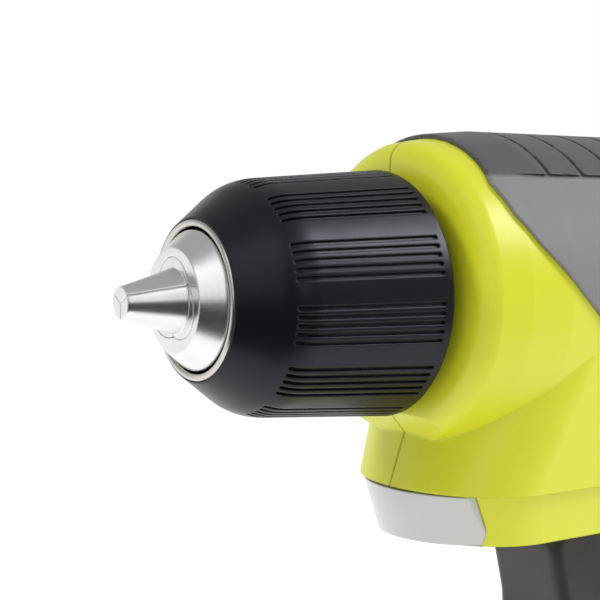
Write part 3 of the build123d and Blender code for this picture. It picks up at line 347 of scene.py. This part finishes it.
def make_materials():
    """The finish of every material slot in the record."""
    return {
        # Painted highlight: the sleeve's paler edge colour stands for light caught along its groove edges.
        "sleeve_plastic": surface("sleeve_plastic", (0.0048, 0.0048, 0.0066), 0.33, drift=0.1, spread=0.06,
                                  grain=(5200, 0.000004), wear_and_highlight=0.3, worn_and_highlit=(0.03, 0.03, 0.036),
                                  Specular_IOR_Level=0.34, Specular_Tint=(0.84, 0.84, 1, 1)),
        "nose_ring_steel": turned_metal("nose_ring_steel", (0.60, 0.58, 0.54), 0.22, anisotropy=0.3),
        "turned_steel": turned_metal("turned_steel", (0.82, 0.82, 0.83), 0.2),
        "jaw_steel": turned_metal("jaw_steel", (0.8, 0.8, 0.8), 0.22, depth=0.000008, anisotropy=0.6),
        "dark_steel": turned_metal("dark_steel", (0.16, 0.16, 0.17), 0.4),
        "bearing_steel": turned_metal("bearing_steel", (0.72, 0.72, 0.73), 0.18, depth=0.000004),
        "gear_steel": surface("gear_steel", (0.42, 0.42, 0.43), 0.38, grain=(4000, 0.00001), wear_and_highlight=0.7,
                              worn_and_highlit=(0.75, 0.75, 0.75), worn_roughness=0.2, rounding=0.00015, Metallic=1.0),
        "cast_zinc": surface("cast_zinc", (0.50, 0.50, 0.51), 0.52, drift=0.12, spread=0.2,
                             grain=(1500, 0.00005), wear_and_highlight=0.4, worn_and_highlit=(0.7, 0.7, 0.7), Metallic=1.0),
        "plate_steel": surface("plate_steel", (0.66, 0.66, 0.67), 0.34, grain=(0, 0.00001),
                               height=brushed_lines(0), wear_and_highlight=0.4, worn_and_highlit=(0.8, 0.8, 0.8), Metallic=1.0),
        "ferrite": surface("ferrite", (0.028, 0.027, 0.028), 0.72, grain=(1800, 0.00008), wear_and_highlight=0.5,
                           worn_and_highlit=(0.09, 0.09, 0.09)),
        "lamination_steel": surface("lamination_steel", (0.34, 0.34, 0.35), 0.42, grain=(0, 0.00006),
                                    height=brushed_lines(1, 2400, 1.6), wear_and_highlight=0.4,
                                    worn_and_highlit=(0.6, 0.6, 0.6), Metallic=1.0),
        "copper": surface("copper", COPPER, 0.3, grain=(0, 0.00012),
                          height=brushed_lines(1, 1700, 0.05), tint=winding_tint, Metallic=0.9,
                          Coat_Weight=0.5),
        "black_nylon": surface("black_nylon", (0.022, 0.022, 0.023), 0.5, grain=(2400, 0.00003), wear_and_highlight=0.4,
                               worn_and_highlit=(0.08, 0.08, 0.08)),
        "lime_plastic": surface("lime_plastic", LIME, 0.36, drift=0.02, spread=0.07,
                                grain=(2200, 0.000009), wear_and_highlight=0.3, worn_and_highlit=coloured(LIME, 1.25),
                                rounding=0.0006, Coat_Weight=0.12, Coat_Roughness=0.25),
        # The soft grip's tint paints shade on its top, above the crease.
        "soft_grip": surface("soft_grip", SKIN_PALE, 0.62, drift=0.05, spread=0.1,
                             grain=(3200, 0.00004), wear_and_highlight=0.35, worn_and_highlit=(0.36, 0.36, 0.37), rounding=0.0005,
                             tint=grip_tint_with_painted_shade, Sheen_Weight=0.12, Sheen_Roughness=0.5),
        "trigger_plastic": surface("trigger_plastic", (0.024, 0.024, 0.026), 0.44,
                                   grain=(2600, 0.00002), wear_and_highlight=0.5, worn_and_highlit=(0.1, 0.1, 0.1)),
        "screw_steel": surface("screw_steel", (0.10, 0.10, 0.105), 0.38, grain=(3000, 0.00002), wear_and_highlight=0.9,
                               worn_and_highlit=(0.6, 0.6, 0.6), worn_roughness=0.25, Metallic=1.0),
        "clip_steel": surface("clip_steel", (0.30, 0.30, 0.31), 0.34, grain=(0, 0.000014),
                              height=brushed_lines(2), wear_and_highlight=0.8, worn_and_highlit=(0.7, 0.7, 0.7), Metallic=1.0),
        "spring_steel": surface("spring_steel", (0.5, 0.5, 0.51), 0.28, grain=(3000, 0.00001),
                                Metallic=1.0),
        "lamp_lens": surface("lamp_lens", (0.74, 0.75, 0.73), 0.22, drift=0.02, spread=0.06,
                             grain=(900, 0.000004), wear_and_highlight=0.1, worn_and_highlit=(0.9, 0.9, 0.9),
                             Transmission_Weight=0.25, IOR=1.49),
        "board_green": surface("board_green", BOARD_GREEN, 0.35, grain=(1200, 0.00003),
                               tint=board_tint, Coat_Weight=0.3),
        "heat_sink": surface("heat_sink", (0.7, 0.7, 0.71), 0.4, grain=(0, 0.00002),
                             height=brushed_lines(2), Metallic=1.0),
        "contact_metal": surface("contact_metal", (0.72, 0.68, 0.56), 0.26, grain=(0, 0.00001),
                                 height=brushed_lines(1), wear_and_highlight=0.6, Metallic=1.0),
        "wire_red": surface("wire_red", (0.52, 0.012, 0.008), 0.42, grain=(900, 0.00004)),
        "wire_black": surface("wire_black", (0.014, 0.014, 0.014), 0.42, grain=(900, 0.00004)),
        "pack_plastic": surface("pack_plastic", (0.026, 0.026, 0.028), 0.5, drift=0.1, spread=0.12,
                                grain=(1500, 0.00005), wear_and_highlight=0.5, worn_and_highlit=(0.09, 0.09, 0.09),
                                rounding=0.0006),
        "cell_wrap": surface("cell_wrap", CELL_BLUE, 0.26, grain=(500, 0.00004),
                             tint=cell_tint, Coat_Weight=0.4),
        "gauge_lens": surface("gauge_lens", (0.05, 0.06, 0.055), 0.16, grain=(900, 0.000006),
                              Transmission_Weight=0.5, IOR=1.5),
        "gauge_button": surface("gauge_button", (0.09, 0.09, 0.095), 0.55, grain=(2400, 0.00004),
                                wear_and_highlight=0.5, worn_and_highlit=(0.2, 0.2, 0.2)),
    }


def dress_nodes(finishes):
    """Give every CAD node the finish of its slot."""
    for name, node in NODES.items():
        finish = finishes[SLOT_OF[name]]
        for slot in node.material_slots:
            slot.material = finish


# ---------------------------------------------------------------- detail pieces
def new_piece(name, mesh, body, slot):
    """Link a mesh as a piece that rides a body and wears the finish of a slot."""
    sharp_above = math.radians(40)
    mesh.validate()
    piece = bpy.data.objects.new(name, mesh)
    bpy.context.scene.collection.objects.link(piece)
    mesh.materials.append(FINISHES[slot])
    mesh.shade_smooth()
    mesh.set_sharp_from_angle(angle=sharp_above)
    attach(piece, body)


def mesh_of(build, name):
    """A mesh filled in by a function that draws into a bmesh."""
    drawing = bmesh.new()
    build(drawing)
    bmesh.ops.recalc_face_normals(drawing, faces=drawing.faces)
    mesh = bpy.data.meshes.new(name)
    drawing.to_mesh(mesh)
    drawing.free()
    return mesh


def draw_lofted(drawing, rings):
    """Skin closed rings of points with quads, and close both ends."""
    loops = [[drawing.verts.new(point) for point in ring] for ring in rings]
    count = len(loops[0])
    for lower, upper in zip(loops, loops[1:]):
        for index in range(count):
            after = (index + 1) % count
            drawing.faces.new((lower[index], lower[after], upper[after], upper[index]))
    drawing.faces.new(loops[0][::-1])
    drawing.faces.new(loops[-1])


def draw_dome(drawing, centre, normal, radius, height):
    """A low rounded stud whose foot is sunk a little into the surface that it stands on."""
    sides = 8
    profile = ((1.0, -0.6), (1.0, 0.15), (0.82, 0.7), (0.42, 1.0))     # shares of radius and height
    along = normal.orthogonal().normalized()
    across = normal.cross(along)
    rings = []
    for share, rise in profile:
        base = centre + normal * height * rise
        rings.append([base + (along * math.cos(turn) + across * math.sin(turn)) * radius * share
                      for turn in (2 * math.pi * side / sides for side in range(sides))])
    draw_lofted(drawing, rings)


def grip_trees():
    """What a ray may meet over the soft grips: the grips, and the parts that show beside them."""
    trees = {}
    for name in ("grip_left", "grip_right", "housing_left", "housing_right", "housing_screws"):
        copy = bmesh.new()
        copy.from_mesh(NODES[name].data)
        trees[name] = BVHTree.FromBMesh(copy)
        copy.free()
    return trees


def surface_below(trees, start, direction):
    """What a straight line meets first among named trees: (name, place, normal), or None."""
    reach = 0.1
    best = None
    for name, tree in trees.items():
        place, normal, _, distance = tree.ray_cast(start, direction, reach)
        if place is not None and (best is None or distance < best[3]):
            best = (name, place, normal, distance)
    return best[:3] if best else None


def stud_foot(trees, name, side, y, z):
    """Place and outward normal of a stud, or None near the grip's border or on its steep edge."""
    margin, least_facing, most_spread, outside = 0.0026, 0.45, 1.6, 0.06
    towards = Vector((-side, 0, 0))
    start = Vector((side * outside, y, z))
    turns = [math.pi / 3 * step for step in range(6)]
    around = [surface_below(trees, start + Vector((0, margin * math.cos(turn), margin * math.sin(turn))),
                            towards) for turn in turns]
    hit = surface_below(trees, start, towards)
    if any(near is None or near[0] != name for near in [hit] + around):
        return None
    _, place, normal = hit
    spread = max(abs(near[1].x - place.x) for near in around)
    if abs(normal.x) <= least_facing or spread >= margin * most_spread:
        return None
    return place, normal if normal.x * side > 0 else -normal


def add_grip_studs():
    """Fields of small raised studs on both flanks of the soft handle, clear of its borders."""
    pitch, row_share, radius, rise = 0.0029, 0.866, 0.00082, 0.00032
    front, depth = -0.012, 0.056
    bottom, top = 0.068, 0.148
    trees = grip_trees()
    rows = range(int((top - bottom) / (pitch * row_share)))
    columns = range(int(depth / pitch))
    for side, hand in ((1, "left"), (-1, "right")):
        name = "grip_" + hand

        def draw(drawing, side=side, name=name):
            for row in rows:
                for column in columns:
                    y = front + (column + 0.5 * (row % 2)) * pitch
                    z = bottom + row * pitch * row_share
                    foot = stud_foot(trees, name, side, y, z)
                    if foot:
                        draw_dome(drawing, *foot, radius, rise)
        new_piece("grip_studs_" + hand, mesh_of(draw, name + "_studs"), "root", "soft_grip")


def rounded_outline(width, height, radius):
    """Corners of a rounded rectangle about the origin."""
    steps = 4
    points = []
    for corner, (x_side, y_side) in enumerate(((1, 1), (-1, 1), (-1, -1), (1, -1))):
        for step in range(steps + 1):
            turn = math.pi / 2 * (corner + step / steps)
            points.append((x_side * (width / 2 - radius) + radius * math.cos(turn),
                           y_side * (height / 2 - radius) + radius * math.sin(turn)))
    return points


def draw_pad(drawing, centre, right, up, size, radius, rise, sink=0.0003):
    """A raised pad with a soft edge, on a flat face whose normal is right x up."""
    out, least_radius = right.cross(up), 0.00005
    rings = []
    for shrink, lift in ((0, -sink), (0, rise * 0.5), (rise * 0.35, rise * 0.85), (rise * 0.9, rise)):
        corner = max(radius - shrink, least_radius)
        outline = rounded_outline(size[0] - 2 * shrink, size[1] - 2 * shrink, corner)
        rings.append([centre + right * x + up * y + out * lift for x, y in outline])
    draw_lofted(drawing, rings)


def add_latch_ribs():
    """Finger ribs on the two pack latches."""
    ribs, end_margin, above_foot = 5, 0.003, 0.0031
    size, radius, rise = (0.0009, 0.0036), 0.0004, 0.0004
    for side, name in ((1, "latch_left"), (-1, "latch_right")):
        low, high = (Vector(corner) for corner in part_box(name))
        face_x = high.x if side > 0 else low.x
        first, last = low.y + end_margin, high.y - end_margin
        middle_z = low.z + above_foot

        def draw(drawing, side=side, face_x=face_x, first=first, last=last, middle_z=middle_z):
            for rib in range(ribs):
                y = first + (last - first) * rib / (ribs - 1)
                draw_pad(drawing, Vector((face_x, y, middle_z)), Vector((0, side, 0)), Vector((0, 0, 1)),
                         size, radius, rise)
        new_piece(f"{name}_ribs", mesh_of(draw, name + "_ribs"), name, "gauge_button")


def add_direction_arrows():
    """Raised arrowheads on the direction bar: forward on its left end, back on its right."""
    low, high = (Vector(corner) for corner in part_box("direction_bar"))
    y, z = low.y + 0.0044, high.z - 0.0027
    size, face_x = 0.0013, high.x - 0.0001
    layers = ((-0.0003, 1.0), (0.00022, 1.0), (0.0003, 0.85))     # lift off the face, share of the size

    def draw(drawing):
        for side in (-1, 1):
            outline = ((y + side * size, z - size), (y + side * size, z + size), (y - side * size, z))
            draw_lofted(drawing, [[Vector((side * face_x + side * lift, y + (point_y - y) * share,
                                           z + (point_z - z) * share)) for point_y, point_z in outline]
                                  for lift, share in layers])
    new_piece("direction_arrows", mesh_of(draw, "direction_arrows"), "direction_bar", "gauge_button")


def add_gauge_lamps():
    """Four small lamps set in the pockets of the gauge window."""
    lamps, first, pitch, depth = 4, 0.0024, 0.0044, 0.0003
    size, radius, rise, gap = (0.0026, 0.0029), 0.0004, 0.0002, 0.00005
    low, high = (Vector(corner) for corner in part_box("gauge_lens"))

    def draw(drawing):
        for lamp in range(lamps):
            middle = Vector((low.x + first + pitch * lamp, low.y + depth, (low.z + high.z) / 2))
            draw_pad(drawing, middle, Vector((1, 0, 0)), Vector((0, 0, 1)), size, radius, rise, sink=-gap)
    new_piece("gauge_lamps", mesh_of(draw, "gauge_lamps"), "pack", "gauge_lens")


add_camera()
add_world()
add_studio()
FINISHES = make_materials()
dress_nodes(FINISHES)
add_grip_studs()
add_latch_ribs()
add_direction_arrows()
add_gauge_lamps()
